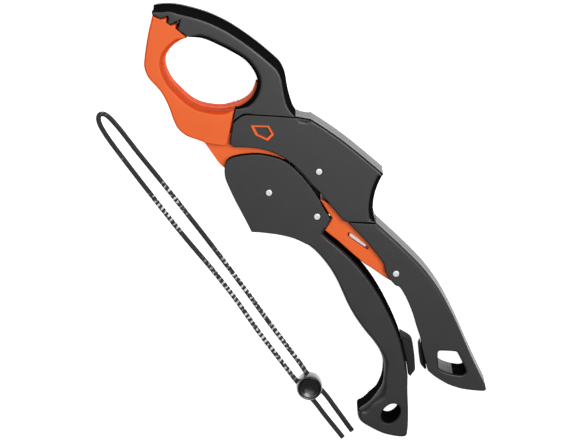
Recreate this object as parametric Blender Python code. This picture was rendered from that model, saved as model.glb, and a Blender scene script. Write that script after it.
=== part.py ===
"""Lip grip with geared jaws, sprung lock latch and a loose lanyard. Lengths below are in millimetres."""
import math

import bpy
import bmesh
from mathutils import Matrix, Vector
from mathutils.geometry import tessellate_polygon

for old in list(bpy.data.objects):
    bpy.data.objects.remove(old, do_unlink=True)

# Driving dimensions
THICK = 21.0            # overall thickness, the grip lies on z = 0
MID = THICK / 2.0
PLATE = 3.6             # outer plates of covers and moving handle
LUG = (14.2, 17.1)      # cover lug that carries the handle pivot, mirrored at the back
CORE = (7.1, 13.9)      # jaw core and handle core share the middle layer
GAP = 0.3               # clearance between touching pieces
JAW_AXIS = (0.0, 0.0)
HANDLE_AXIS = (-25.3, 7.6)
RIVET = (-15.1, -16.6)
LATCH_AXIS = (-4.0, -63.4)
PIN_R = 1.55
BORE_R = 1.95
GEAR_TEETH = (20, 16)   # handle core, jaw hub
PRESSURE_ANGLE = math.radians(20.0)
BACKLASH = 0.32
CORD_R = 1.25
LOCK_POS = (-76.1, -83.8)
LANYARD_AXIS = (-66.6, 87.2)    # crown of the loop, about which the loose lanyard is pushed aside
LOCK_R = 6.5
LOCK_H = 10.0

CENTRES = math.dist(JAW_AXIS, HANDLE_AXIS)
MODULE = 2.0 * CENTRES / sum(GEAR_TEETH)
MESH_ANGLE = math.atan2(JAW_AXIS[1] - HANDLE_AXIS[1], JAW_AXIS[0] - HANDLE_AXIS[0])

# Outlines. A third value of 1 marks a sharp corner, the rest are smoothed.
UPPER_JAW = [(-11.6, 110.7, 1), (-10.6, 111.6), (-7.6, 110.0), (-3.6, 106.8), (0.4, 102.3), (6.7, 93.0),
             (11.2, 83.5), (14.2, 74.0), (16.4, 64.5), (18.0, 54.5), (18.1, 50.5), (16.6, 45.6),
             (12.5, 38.5), (9.4, 31.5), (8.6, 27.9, 1), (4.9, 31.7, 1), (-5.0, 41.1), (-9.3, 44.9),
             (-12.0, 45.7), (-16.0, 45.9, 1), (-10.8, 49.7, 1), (-9.0, 49.0), (-5.0, 48.3), (-1.0, 48.7),
             (3.0, 50.6), (6.3, 54.0), (7.8, 59.3), (7.7, 65.3), (5.4, 72.3), (2.9, 78.3), (-0.6, 85.3),
             (-5.6, 91.3, 1), (-6.6, 96.4, 1), (-6.7, 97.6, 1), (-4.4, 99.6, 1), (-8.0, 101.2, 1),
             (-8.5, 102.8, 1), (-6.2, 105.3, 1), (-9.7, 106.5, 1)]
JAW_TANG = [(-3.0, 44.0, 1), (4.0, 40.0, 1), (9.0, 36.0, 1), (7.6, 31.5, 1), (5.8, 29.2, 1), (5.8, 27.0, 1),
            (9.6, 20.4, 1), (12.2, 12.4, 1), (11.6, 10.5, 1), (7.0, 10.8, 1), (5.0, 18.0, 1), (3.9, 26.0, 1),
            (4.0, 31.6, 1)]
LOWER_JAW = [(-12.0, 110.0, 1), (-20.3, 103.8), (-30.2, 94.9), (-32.5, 90.8), (-33.2, 87.2), (-33.0, 82.0),
             (-33.2, 78.0), (-34.7, 71.8), (-37.7, 63.8), (-38.5, 59.3), (-37.7, 54.8), (-35.2, 50.3),
             (-33.0, 46.4, 1), (-28.2, 40.9), (-26.2, 38.9, 1), (-24.6, 39.6, 1), (-11.3, 50.1, 1),
             (-13.1, 50.8), (-18.3, 54.4), (-23.4, 60.3), (-25.9, 66.3), (-26.9, 74.3), (-26.9, 80.3),
             (-24.8, 86.8), (-21.0, 91.0), (-15.6, 92.6), (-10.6, 92.4), (-6.2, 91.3, 1), (-7.2, 96.6, 1),
             (-7.5, 98.3, 1), (-5.4, 99.7, 1), (-8.4, 100.9, 1), (-9.0, 103.2, 1), (-7.1, 105.1, 1),
             (-10.1, 106.2, 1)]
JAW_CORE = [(-8.0, 93.5, 1), (-7.0, 90.7, 1), (-10.6, 91.6), (-15.5, 91.8), (-20.6, 90.2), (-24.1, 86.3),
            (-26.1, 80.1), (-26.1, 74.3), (-25.1, 66.5), (-22.7, 60.7), (-17.8, 55.0), (-12.8, 51.6),
            (-8.9, 49.9), (-5.0, 49.2), (-1.1, 49.6), (2.4, 51.3), (4.2, 52.6, 1), (5.0, 50.0), (4.7, 46.0),
            (2.4, 34.0), (2.6, 20.0), (7.0, 8.0, 1), (7.8, 0.0), (5.4, -5.6), (0.0, -7.8), (-5.6, -5.4, 1),
            (-8.0, 0.0, 1), (-7.4, 6.3, 1), (-6.0, 7.7, 1), (-6.9, 11.8, 1), (-9.0, 14.4, 1), (-12.4, 16.8, 1),
            (-17.0, 18.9, 1), (-24.0, 22.3), (-30.0, 26.3), (-34.6, 29.9, 1), (-34.9, 33.7), (-34.5, 38.7),
            (-34.2, 43.7, 1), (-34.4, 50.0, 1), (-36.2, 60.0, 1), (-31.4, 76.0, 1), (-31.0, 90.0, 1)]
JAW_STEP = [(-33.6, 46.6, 1), (-34.4, 38.7), (-34.8, 33.7), (-34.4, 30.3, 1), (-30.5, 28.3), (-24.5, 25.8),
            (-18.0, 21.9), (-12.4, 17.2), (-8.9, 14.8, 1), (-6.9, 15.2, 1), (-8.0, 22.0), (-12.0, 30.0),
            (-17.5, 37.6), (-21.0, 42.0, 1), (-26.0, 47.0, 1)]
COVER = [(-24.2, 38.4, 1), (-16.3, 45.2, 1), (-12.2, 45.3), (-9.4, 44.5), (-5.0, 40.7), (4.8, 31.3, 1),
         (9.0, 27.2, 1), (13.3, 22.0, 1), (16.0, 13.0), (18.5, 3.0), (20.6, -8.0), (22.1, -17.0),
         (22.8, -21.3, 1), (18.5, -23.2), (14.0, -25.9), (10.0, -29.2), (7.0, -32.8), (4.7, -37.3, 1),
         (-5.6, -27.9, 1), (-6.5, -26.6, 1), (-6.5, -20.0), (-6.3, -13.0), (-6.3, -8.0), (-6.7, -3.0),
         (-6.7, 3.0), (-7.0, 9.0), (-8.0, 13.8), (-9.2, 18.0), (-11.6, 23.0), (-15.1, 27.8), (-19.6, 32.3),
         (-23.6, 35.9)]
COVER_CAVITY = [(-30.0, 50.0, 1), (5.0, 50.0, 1), (6.4, 29.0, 1), (10.9, 20.8, 1), (13.5, 12.0, 1),
                (16.0, 1.5, 1), (18.1, -8.5, 1), (19.6, -17.5, 1), (18.6, -20.4, 1), (13.0, -23.4, 1),
                (8.6, -26.8, 1), (5.2, -30.6, 1), (1.0, -37.5, 1), (-12.0, -30.0, 1), (-12.0, 10.0, 1),
                (-30.0, 30.0, 1)]
FIXED_HANDLE = [(-5.3, -28.5, 1), (4.6, -37.8, 1), (5.3, -44.0), (6.5, -54.0), (7.5, -66.0), (7.5, -75.0),
                (6.5, -85.0), (4.2, -96.0), (1.2, -107.0), (-1.8, -117.0), (-4.8, -128.0), (-6.4, -134.6),
                (-7.4, -137.3), (-8.8, -137.4), (-12.2, -134.3), (-16.7, -129.2), (-20.4, -123.0),
                (-22.7, -116.0), (-23.4, -111.6, 1), (-22.8, -110.2, 1), (-20.5, -105.0, 1),
                (-18.0, -100.0, 1), (-15.6, -96.3, 1), (-13.1, -90.0), (-10.5, -84.0), (-8.2, -77.0),
                (-7.0, -71.0), (-7.1, -69.2), (-7.9, -67.9), (-8.1, -65.0), (-7.7, -61.0), (-6.8, -58.2),
                (-5.3, -55.8), (-4.9, -52.0), (-4.7, -45.0), (-4.8, -38.0), (-5.2, -32.0)]
LATCH_POCKET = [(-20.0, -25.0, 1), (3.4, -25.0, 1), (4.0, -40.0, 1), (4.2, -58.0, 1), (3.0, -65.0, 1),
                (-0.5, -68.4, 1), (-6.0, -68.6, 1), (-12.0, -66.6, 1), (-20.0, -66.0, 1)]
FIXED_HOLE = [(-13.9, -107.7), (-12.5, -107.5), (-6.9, -112.6), (-6.5, -114.0), (-9.2, -123.6),
              (-12.2, -123.9), (-16.4, -119.0), (-18.4, -114.7), (-17.9, -113.0)]
FIXED_PAD = [(-18.4, -100.1, 1), (-20.2, -100.8), (-21.4, -102.4), (-24.4, -107.0), (-24.7, -110.7, 1),
             (-23.8, -111.2, 1), (-23.1, -109.9, 1), (-20.9, -105.1, 1)]
MOVING_HANDLE = [(-33.7, 31.0, 1), (-35.7, 28.6), (-37.2, 26.0), (-38.8, 21.0), (-40.3, 15.5), (-41.8, 9.0),
                 (-43.2, 3.0), (-44.5, -2.0, 1), (-40.2, -6.2), (-35.2, -11.7), (-31.2, -17.2),
                 (-28.7, -22.2), (-27.2, -27.2), (-26.7, -33.2), (-27.0, -40.0), (-28.2, -47.0),
                 (-30.2, -54.0), (-32.2, -61.0), (-33.5, -68.0), (-34.2, -76.0), (-34.4, -83.0),
                 (-35.3, -89.0), (-38.2, -95.0), (-43.8, -101.4), (-50.0, -104.3), (-56.8, -105.4),
                 (-62.4, -105.2), (-64.9, -107.6), (-65.4, -111.0), (-64.2, -115.2), (-61.2, -122.2),
                 (-57.2, -127.7), (-54.2, -130.5), (-52.3, -130.5), (-48.0, -126.2), (-43.0, -120.2),
                 (-38.0, -113.7), (-33.0, -107.7, 1), (-31.0, -104.5, 1), (-27.5, -98.0), (-24.2, -91.5),
                 (-21.3, -83.5), (-19.0, -75.0), (-17.2, -66.5), (-16.2, -59.0), (-15.8, -51.0),
                 (-16.0, -43.0), (-16.8, -36.0), (-18.0, -29.0), (-18.4, -25.0, 1), (-16.0, -24.0),
                 (-13.2, -22.9), (-10.8, -21.8, 1), (-10.2, -18.0), (-9.6, -14.0), (-8.7, -11.0),
                 (-8.1, -6.0), (-7.7, -1.0), (-7.7, 4.0), (-8.1, 9.0), (-8.9, 13.4), (-10.6, 17.4),
                 (-13.2, 21.3), (-17.1, 25.7), (-22.1, 29.5), (-27.0, 32.2), (-30.4, 32.8)]
HEAD_CLEAR = [(-60.0, 60.0, 1), (0.0, 60.0, 1), (0.0, -26.0, 1), (-17.6, -26.0, 1), (-20.5, -21.0, 1),
              (-27.0, -14.0, 1), (-34.0, -7.4, 1), (-60.0, -7.4, 1)]
MOVING_PAD = [(-23.1, -89.9, 1), (-22.3, -91.8), (-21.2, -95.4), (-21.5, -97.6), (-24.0, -102.0),
              (-28.0, -107.5), (-29.0, -108.3), (-32.4, -109.1, 1), (-32.6, -107.4, 1),
              (-30.6, -104.4, 1), (-27.1, -97.9, 1), (-23.8, -91.4, 1)]
CORE_ARM = [(-29.4, 5.0, 1), (-27.6, -6.0, 1), (-27.4, -16.0, 1), (-24.6, -24.0, 1), (-24.0, -34.0, 1),
            (-20.4, -34.0, 1), (-20.6, -25.0, 1), (-17.6, -21.0, 1), (-12.6, -19.6, 1), (-12.0, -15.4, 1),
            (-15.6, -12.0, 1), (-17.4, -4.0, 1), (-17.6, 3.0, 1)]
LATCH = [(-9.1, -12.0, 1), (-8.2, -12.6), (-7.4, -15.0), (-6.0, -20.0), (-4.6, -30.0), (-2.4, -38.0),
         (-1.0, -46.0), (-0.4, -55.0), (0.2, -62.0), (-0.4, -66.0), (-4.0, -67.8), (-7.6, -66.4),
         (-8.9, -65.2, 1), (-10.2, -61.0), (-11.7, -55.0), (-13.2, -50.0), (-14.2, -44.0), (-14.9, -39.0),
         (-15.7, -33.0), (-16.9, -27.0), (-17.2, -25.2, 1), (-16.0, -24.6), (-13.0, -23.6),
         (-10.7, -22.7, 1), (-10.4, -21.5), (-10.1, -18.0)]
LATCH_SLOT = [(-10.0, -33.6), (-9.0, -33.2), (-8.3, -34.0), (-6.1, -44.4), (-6.5, -45.6), (-7.6, -45.6),
              (-10.4, -34.6)]
BADGE = [(-10.6, 39.2, 1), (-3.6, 33.0, 1), (-4.6, 27.8, 1), (-9.2, 27.4, 1), (-12.0, 33.6, 1)]
LOOP_PATH = [(-79.6, -77.2, 3.2), (-79.7, -73.6, 1.6), (-79.3, -66.0, 1.25), (-78.0, -46.3, 1.25),
             (-76.0, -27.0, 1.25), (-75.0, -8.0, 1.25), (-74.6, 15.7, 1.25), (-73.4, 40.0, 1.25),
             (-72.0, 63.1, 1.25), (-70.8, 77.0, 1.25), (-69.2, 84.4, 1.25), (-66.6, 87.2, 1.25),
             (-64.1, 85.0, 1.25), (-63.6, 77.0, 1.25), (-64.5, 60.0, 1.25), (-65.3, 38.0, 1.25),
             (-67.0, 5.0, 1.25), (-69.0, -24.0, 1.25), (-71.0, -47.0, 1.25), (-72.3, -66.0, 1.25),
             (-72.8, -73.6, 1.6), (-73.0, -77.0, 3.2)]
TAIL_LEFT = [(-79.7, -90.6, 3.2), (-80.1, -95.2, 1.6), (-80.6, -101.0, 1.25), (-81.2, -116.1, 1.25)]
TAIL_RIGHT = [(-73.1, -90.7, 3.2), (-73.5, -95.2, 1.6), (-74.2, -102.0, 1.25), (-75.5, -116.4, 1.25)]

CASE_SCREWS = [(9.2, 15.4), (13.5, -12.5), (6.0, -25.5), (2.6, -84.0), (-4.6, -106.5)]
GRIP_SCREWS = [(-22.4, -44.0), (-27.6, -84.0), (-46.0, -108.0)]

COLOURS = {"black_plastic": (0.055, 0.057, 0.06), "orange_plastic": (0.9, 0.16, 0.04),
           "steel": (0.62, 0.63, 0.64), "brass": (0.7, 0.5, 0.2), "soft_rubber": (0.03, 0.03, 0.03),
           "cord": (0.02, 0.02, 0.02), "gloss_black": (0.015, 0.015, 0.015)}


def material(slot):
    found = bpy.data.materials.get(slot)
    if found:
        return found
    made = bpy.data.materials.new(slot)
    made.use_nodes = True
    shader = made.node_tree.nodes["Principled BSDF"]
    shader.inputs["Base Color"].default_value = (*COLOURS[slot], 1.0)
    shader.inputs["Metallic"].default_value = 1.0 if slot in ("steel", "brass") else 0.0
    shader.inputs["Roughness"].default_value = 0.35
    return made


def smooth(spec, per=3):
    """Closed outline through the given points, straight into and out of sharp corners."""
    count = len(spec)
    points = [Vector(p[:2]) for p in spec]
    sharp = [len(p) > 2 and p[2] == 1 for p in spec]
    out = []
    for i in range(count):
        j = (i + 1) % count
        a, b = points[i], points[j]
        out.append(a)
        if sharp[i] and sharp[j]:
            continue
        start = (b - a) if sharp[i] else (b - points[i - 1]) * 0.5
        end = (b - a) if sharp[j] else (points[(j + 1) % count] - a) * 0.5
        limit = (b - a).length * 1.1
        if start.length > limit:
            start = start.normalized() * limit
        if end.length > limit:
            end = end.normalized() * limit
        for k in range(1, per):
            t = k / per
            t2, t3 = t * t, t * t * t
            out.append(a * (2 * t3 - 3 * t2 + 1) + start * (t3 - 2 * t2 + t)
                       + b * (3 * t2 - 2 * t3) + end * (t3 - t2))
    return out


def disc(centre, radius, count=28):
    return [Vector((centre[0] + radius * math.cos(2 * math.pi * k / count),
                    centre[1] + radius * math.sin(2 * math.pi * k / count))) for k in range(count)]


def oval(centre, half_long, half_short, turn, count=28):
    """Ellipse whose long axis is turned from +X by an angle in degrees."""
    swing = Matrix.Rotation(math.radians(turn), 2)
    return [Vector(centre) + swing @ Vector((half_long * math.cos(math.tau * k / count),
                                             half_short * math.sin(math.tau * k / count)))
            for k in range(count)]


def area(loop):
    return 0.5 * sum(a.x * b.y - b.x * a.y for a, b in zip(loop, loop[1:] + loop[:1]))


def add_object(name, mesh, slot=None):
    obj = bpy.data.objects.new(name, mesh)
    bpy.context.scene.collection.objects.link(obj)
    if slot:
        mesh.materials.append(material(slot))
    return obj


def prism(name, loop, z0, z1, slot=None, holes=()):
    """Closed straight-sided solid from one outline and any holes through it."""
    loops = [loop if area(loop) > 0 else loop[::-1]]
    loops += [hole if area(hole) < 0 else hole[::-1] for hole in holes]
    bm = bmesh.new()
    low = [[bm.verts.new((p.x / 1000, p.y / 1000, z0 / 1000)) for p in ring] for ring in loops]
    high = [[bm.verts.new((p.x / 1000, p.y / 1000, z1 / 1000)) for p in ring] for ring in loops]
    for under, over in zip(low, high):
        for k in range(len(under)):
            m = (k + 1) % len(under)
            bm.faces.new((under[k], under[m], over[m], over[k]))
    flat = [[Vector((p.x, p.y, 0.0)) for p in ring] for ring in loops]
    low_flat = [v for ring in low for v in ring]
    high_flat = [v for ring in high for v in ring]
    for a, b, c in tessellate_polygon(flat):
        bm.faces.new((low_flat[a], low_flat[b], low_flat[c]))
        bm.faces.new((high_flat[a], high_flat[b], high_flat[c]))
    bmesh.ops.recalc_face_normals(bm, faces=bm.faces)
    mesh = bpy.data.meshes.new(name)
    bm.to_mesh(mesh)
    bm.free()
    return add_object(name, mesh, slot)


def drum(name, centre, radius, z0, z1, slot=None, count=28):
    return prism(name, disc(centre, radius, count), z0, z1, slot)


def carve(target, tools, operation):
    """Apply an exact boolean with each tool in turn, then drop the tool."""
    for tool in tools:
        step = target.modifiers.new("step", "BOOLEAN")
        step.operation = operation
        step.solver = "EXACT"
        step.object = tool
        bpy.context.view_layer.update()
        graph = bpy.context.evaluated_depsgraph_get()
        mesh = bpy.data.meshes.new_from_object(target.evaluated_get(graph))
        target.modifiers.clear()
        target.data = mesh
        bpy.data.objects.remove(tool, do_unlink=True)
    return target


def cut(target, *tools):
    return carve(target, tools, "DIFFERENCE")


def join(target, *tools):
    return carve(target, tools, "UNION")


def soften(target, width, angle=50.0):
    """Small round on the hard edges."""
    step = target.modifiers.new("round", "BEVEL")
    step.width = width / 1000
    step.segments = 2
    step.limit_method = "ANGLE"
    step.angle_limit = math.radians(angle)
    step.use_clamp_overlap = True
    bpy.context.view_layer.update()
    graph = bpy.context.evaluated_depsgraph_get()
    mesh = bpy.data.meshes.new_from_object(target.evaluated_get(graph))
    target.modifiers.clear()
    target.data = mesh
    return target


def seat(target, axis, z=0.0):
    """Move the origin of a moving piece on to its joint axis."""
    shift = Vector((axis[0] / 1000, axis[1] / 1000, z / 1000))
    target.data.transform(Matrix.Translation(-shift))
    target.location = shift
    return target


def gear_outline(centre, teeth, first, last, phase, root_from, root_to):
    """Involute teeth numbered first..last about a phase angle, closed through the gear centre."""
    pitch_r = MODULE * teeth / 2
    base_r = pitch_r * math.cos(PRESSURE_ANGLE)
    root_r = pitch_r - 1.2 * MODULE
    tip_r = pitch_r + 0.9 * MODULE
    half = math.pi / (2 * teeth) - BACKLASH / (2 * pitch_r)
    inv_pitch = math.tan(PRESSURE_ANGLE) - PRESSURE_ANGLE
    flank = []
    for k in range(5):
        r = max(base_r, root_r) + (tip_r - max(base_r, root_r)) * k / 4
        press = math.acos(min(1.0, base_r / r))
        flank.append((r, half + inv_pitch - math.tan(press) + press))
    if base_r > root_r:
        flank.insert(0, (root_r, flank[0][1]))
    polar = [(root_r, root_from)]
    for n in range(first, last + 1):
        mid = phase + 2 * math.pi * n / teeth
        polar += [(r, mid - w) for r, w in flank]
        polar += [(r, mid + w) for r, w in reversed(flank)]
    polar.append((root_r, root_to))
    out = [Vector((centre[0] + r * math.cos(a), centre[1] + r * math.sin(a))) for r, a in polar]
    return out + [Vector(centre)]


def coil(name, centre, radius, wire, turns, z0, z1, slot, axis="Z", per_turn=14):
    """Closed helical wire with square-cut ends."""
    steps = int(turns * per_turn)
    path = []
    for k in range(steps + 1):
        a = 2 * math.pi * turns * k / steps
        along = z0 + (z1 - z0) * k / steps
        if axis == "Z":
            path.append((centre[0] + radius * math.cos(a), centre[1] + radius * math.sin(a), along))
        else:
            path.append((along, centre[0] + radius * math.cos(a), centre[1] + radius * math.sin(a)))
    return tube(name, path, wire, slot, resolution=1)


def tube(name, path, radius, slot, resolution=2):
    curve = bpy.data.curves.new(name, "CURVE")
    curve.dimensions = "3D"
    curve.bevel_depth = radius / 1000
    curve.bevel_resolution = resolution
    curve.use_fill_caps = True
    line = curve.splines.new("POLY")
    line.points.add(len(path) - 1)
    for point, place in zip(line.points, path):
        point.co = (place[0] / 1000, place[1] / 1000, place[2] / 1000, 1.0)
    obj = bpy.data.objects.new(name, curve)
    bpy.context.scene.collection.objects.link(obj)
    curve.materials.append(material(slot))
    return obj


def smooth_path(points, per):
    """Open smooth curve through points in space."""
    knots = [Vector(p) for p in points]
    out = []
    for i in range(len(knots) - 1):
        before = knots[max(i - 1, 0)]
        a, b = knots[i], knots[i + 1]
        after = knots[min(i + 2, len(knots) - 1)]
        for k in range(per):
            t = k / per
            out.append(0.5 * ((2 * a) + (b - before) * t + (2 * before - 5 * a + 4 * b - after) * t * t
                              + (3 * a - before - 3 * b + after) * t ** 3))
    out.append(knots[-1])
    return out


def screw_cutter(place):
    hole = drum("cutter", place, 1.5, -1.0, 17.0)
    return join(hole, drum("cutter", place, 2.8, -1.0, 2.9))


def mirror_z(low, high):
    return THICK - high, THICK - low


def screw(name, place):
    shaft = drum(name, place, 1.2, 0.5, 16.2, "steel", 20)
    head = drum("cutter", place, 2.5, 0.5, 2.5, None, 28)
    drive = prism("cutter", disc(place, 1.1, 6), 0.0, 1.6)
    return cut(join(shaft, head), drive)


def pin(name, place, low=0.3):
    return soften(drum(name, place, PIN_R, low, THICK + 0.15, "steel", 32), 0.3)


# Upper jaw: full depth hook, forked round the jaw core, with a tang held between the covers
fork = prism("cutter", smooth([(-60, 88, 1), (-14, 60, 1), (4.9, 56, 1), (5.6, 50, 1), (5.2, 44, 1),
                               (3.2, 34, 1), (3.0, 20, 1), (-60, 20, 1)]), CORE[0] - GAP, CORE[1] + GAP)
upper_jaw = prism("upper_jaw", smooth(UPPER_JAW), 0.0, THICK, "black_plastic")
tang = prism("cutter", smooth(JAW_TANG), 4.0, THICK - 4.0, None, [disc(CASE_SCREWS[0], 1.6, 20)])
join(upper_jaw, tang)
cut(upper_jaw, fork)

# Lower jaw: ring half, recessed step, core and gear teeth in one moulding
lower_jaw = prism("lower_jaw", smooth(LOWER_JAW), 0.2, THICK - 0.1, "orange_plastic")
step_block = prism("cutter", smooth(JAW_STEP), 4.2, 16.9)
core_block = prism("cutter", smooth(JAW_CORE), *CORE)
teeth = prism("cutter", gear_outline(JAW_AXIS, GEAR_TEETH[1], -2, 1, MESH_ANGLE + math.pi,
                                     math.radians(108), math.radians(196)), *CORE)
join(lower_jaw, core_block, step_block, teeth)
cut(lower_jaw, drum("cutter", JAW_AXIS, 2.9, 0.0, THICK))
seat(lower_jaw, JAW_AXIS)
bush_loops = disc(JAW_AXIS, 2.6), [disc(JAW_AXIS, BORE_R)]
jaw_bush = prism("jaw_bush", bush_loops[0], CORE[0], CORE[1], "brass", bush_loops[1])
seat(jaw_bush, JAW_AXIS)

# Covers: plate, edge walls, screw posts and the lug that carries the handle pivot
for side in ("front", "back"):
    front = side == "front"
    flip = (lambda a, b: (a, b)) if front else mirror_z
    span = flip(MID + 0.15, THICK)
    cover = prism(side + "_cover", smooth(COVER), *span, "black_plastic")
    cut(cover, prism("cutter", smooth(COVER_CAVITY), *flip(MID - 1, THICK - PLATE)))
    away = Vector(HANDLE_AXIS).normalized()
    across = Vector((-away.y, away.x))
    bar = [across * 5.4 - away * 6.0, across * 5.4 + away * CENTRES, -across * 5.4 + away * CENTRES,
           -across * 5.4 - away * 6.0]
    lug = join(prism("cutter", bar, *flip(*LUG)), drum("cutter", HANDLE_AXIS, 5.5, *flip(*LUG)))
    cut(lug, drum("cutter", JAW_AXIS, 4.9, *flip(LUG[0] - 1, LUG[1] + 1)))
    pad = cut(prism("cutter", [across * 5.4 - away * 6.0, across * 5.4 + away * 5.6,
                               -across * 5.4 + away * 5.6, -across * 5.4 - away * 6.0],
                    *flip(LUG[1] - 0.5, THICK - 1)),
              drum("cutter", JAW_AXIS, 4.9, *flip(LUG[1] - 1, THICK)))
    join(cover, lug, pad)
    for place in CASE_SCREWS[1:3]:
        join(cover, drum("cutter", place, 3.3, *flip(MID + 0.15, THICK - 1)))
    join(cover, drum("cutter", CASE_SCREWS[0], 3.0, *flip(THICK - 3.7, THICK - 1)))
    cut(cover, drum("cutter", JAW_AXIS, BORE_R, -1, THICK + 1),
        drum("cutter", HANDLE_AXIS, BORE_R, -1, THICK + 1))
    cut(cover, *[screw_cutter(place) for place in CASE_SCREWS[:3]])
    if front:
        cut(cover, prism("cutter", smooth(BADGE), THICK - 2.9, THICK + 1))

# Generic window insert
badge = [Vector(p[:2]) for p in BADGE]
middle = sum(badge, Vector((0, 0))) / len(badge)
badge_outer = [middle + (p - middle) * 0.93 for p in badge]
badge_inner = [middle + (p - middle) * 0.58 for p in badge]
prism("window_insert", badge_outer, THICK - 2.6, THICK - 0.5, "orange_plastic", [badge_inner])

# Fixed handle halves
for side in ("front", "back"):
    flip = (lambda a, b: (a, b)) if side == "front" else mirror_z
    half = prism("fixed_handle_" + side, smooth(FIXED_HANDLE), *flip(MID + 0.15, THICK), "black_plastic",
                 [smooth(FIXED_HOLE)])
    cut(half, prism("cutter", smooth(LATCH_POCKET), *flip(MID - 1, THICK - PLATE)),
        drum("cutter", LATCH_AXIS, BORE_R, -1, THICK + 1))
    cut(half, *[screw_cutter(place) for place in CASE_SCREWS[3:]])
prism("fixed_stop_pad", smooth(FIXED_PAD), 3.5, 17.5, "soft_rubber")

# Moving handle halves, core with gear teeth, and its pad
for side in ("front", "back"):
    front = side == "front"
    flip = (lambda a, b: (a, b)) if front else mirror_z
    half = prism("moving_handle_" + side, smooth(MOVING_HANDLE), *flip(MID + 0.15, THICK - 0.1 * front),
                 "black_plastic", [oval((-51.4, -116.8), 5.4, 4.0, 12.0)])
    if not front:
        cut(half, prism("cutter", disc((-30, -40), 150, 8), -1, 0.2))
    cut(half, prism("cutter", smooth(HEAD_CLEAR), *flip(MID - 1, THICK - PLATE)),
        prism("cutter", [Vector((-28.4, 2)), Vector((-28.4, -20)), Vector((-24.9, -35)),
                         Vector((-19.8, -35)), Vector((-19.6, -24)), Vector((-16, -20))],
              *flip(MID - 1, CORE[1] + GAP)),
        drum("cutter", HANDLE_AXIS, BORE_R, -1, THICK + 1),
        drum("cutter", RIVET, BORE_R, -1, THICK + 1))
    cut(half, *[screw_cutter(place) for place in GRIP_SCREWS])
    seat(half, HANDLE_AXIS)
handle_core = prism("handle_core", smooth(CORE_ARM), *CORE, "steel")
sector = prism("cutter", gear_outline(HANDLE_AXIS, GEAR_TEETH[0], -1, 1, MESH_ANGLE + math.pi / 20,
                                      math.radians(-34), math.radians(17)), *CORE)
join(handle_core, drum("cutter", HANDLE_AXIS, 4.5, *CORE), sector)
cut(handle_core, drum("cutter", HANDLE_AXIS, BORE_R, 0, THICK), drum("cutter", RIVET, BORE_R, 0, THICK))
seat(handle_core, HANDLE_AXIS)
seat(prism("moving_stop_pad", smooth(MOVING_PAD), 3.5, 17.5, "soft_rubber"), HANDLE_AXIS)

# Lock latch
latch = prism("latch", smooth(LATCH), 4.0, THICK - 4.0, "orange_plastic",
              [disc(LATCH_AXIS, BORE_R), smooth(LATCH_SLOT)])
seat(latch, LATCH_AXIS)

# Pins, screws and springs
pin("jaw_pin", JAW_AXIS, low=0.0)      # flush at the back, where the part's origin lies
pin("handle_pin", HANDLE_AXIS)
pin("latch_pin", LATCH_AXIS)
seat(pin("core_rivet", RIVET), HANDLE_AXIS)
for index, place in enumerate(CASE_SCREWS):
    screw("case_screw_%d" % (index + 1), place)
for index, place in enumerate(GRIP_SCREWS):
    seat(screw("grip_screw_%d" % (index + 1), place), HANDLE_AXIS)
coil("opening_spring", JAW_AXIS, 3.6, 0.4, 2.25, 14.7, 16.7, "steel")
coil("latch_spring", (-50.0, MID), 1.9, 0.3, 4.0, -0.1, 3.6, "steel", axis="X")

# Lanyard and its cord lock
seat(tube("lanyard_loop", smooth_path(LOOP_PATH, 3), CORD_R, "cord"), LANYARD_AXIS)
seat(tube("lanyard_tail_left", smooth_path(TAIL_LEFT, 4), CORD_R, "cord"), LANYARD_AXIS)
seat(tube("lanyard_tail_right", smooth_path(TAIL_RIGHT, 4), CORD_R, "cord"), LANYARD_AXIS)
lock = soften(drum("cord_lock_body", LOCK_POS, LOCK_R, 0.1, LOCK_H, "gloss_black", 40), 1.8)
seat(cut(lock, drum("cutter", LOCK_POS, 3.3, 5.2, LOCK_H + 1, None, 32)), LANYARD_AXIS)
button = soften(drum("cord_lock_button", LOCK_POS, 3.0, 8.3, LOCK_H + 0.4, "gloss_black", 32), 0.5)
seat(button, LOCK_POS)
seat(coil("cord_lock_spring", LOCK_POS, 2.2, 0.3, 3.0, 5.6, 7.9, "steel"), LANYARD_AXIS)
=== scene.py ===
import math

import bmesh
import bpy
from mathutils import Matrix, Vector


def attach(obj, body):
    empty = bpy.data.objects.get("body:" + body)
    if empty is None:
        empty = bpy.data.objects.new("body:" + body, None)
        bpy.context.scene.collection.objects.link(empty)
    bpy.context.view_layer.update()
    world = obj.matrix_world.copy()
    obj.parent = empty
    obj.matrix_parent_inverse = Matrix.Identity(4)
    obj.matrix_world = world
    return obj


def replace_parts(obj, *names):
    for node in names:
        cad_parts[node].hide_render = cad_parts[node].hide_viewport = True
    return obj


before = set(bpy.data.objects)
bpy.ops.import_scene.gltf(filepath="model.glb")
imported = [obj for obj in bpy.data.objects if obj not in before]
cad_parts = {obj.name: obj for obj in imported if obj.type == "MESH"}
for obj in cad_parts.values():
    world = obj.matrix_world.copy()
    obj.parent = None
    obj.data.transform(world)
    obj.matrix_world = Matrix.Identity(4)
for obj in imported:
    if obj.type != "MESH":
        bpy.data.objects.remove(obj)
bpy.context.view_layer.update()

# Studio. The grip lies on a pale table under one wide overhead softbox, with a smaller lamp above its
# fixed-handle side. The camera looks down on it at a slight slant.
MM = 0.001
COLLECTION = bpy.context.scene.collection
TURN = math.radians(40.0)
view_right = Vector((math.cos(TURN), -math.sin(TURN), 0.0))
view_up = Vector((math.sin(TURN), math.cos(TURN), 0.0))
look_from = (view_up * 0.25 + Vector((0.0, 0.0, 1.0))).normalized()
aim = Vector((-24.83, -10.76, 21.0)) * MM
camera_up = look_from.cross(view_right)
camera = bpy.data.objects.new("camera", bpy.data.cameras.new("camera"))
camera.data.lens = 189.0
camera.data.clip_start = 0.05
camera.data.clip_end = 20.0
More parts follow.
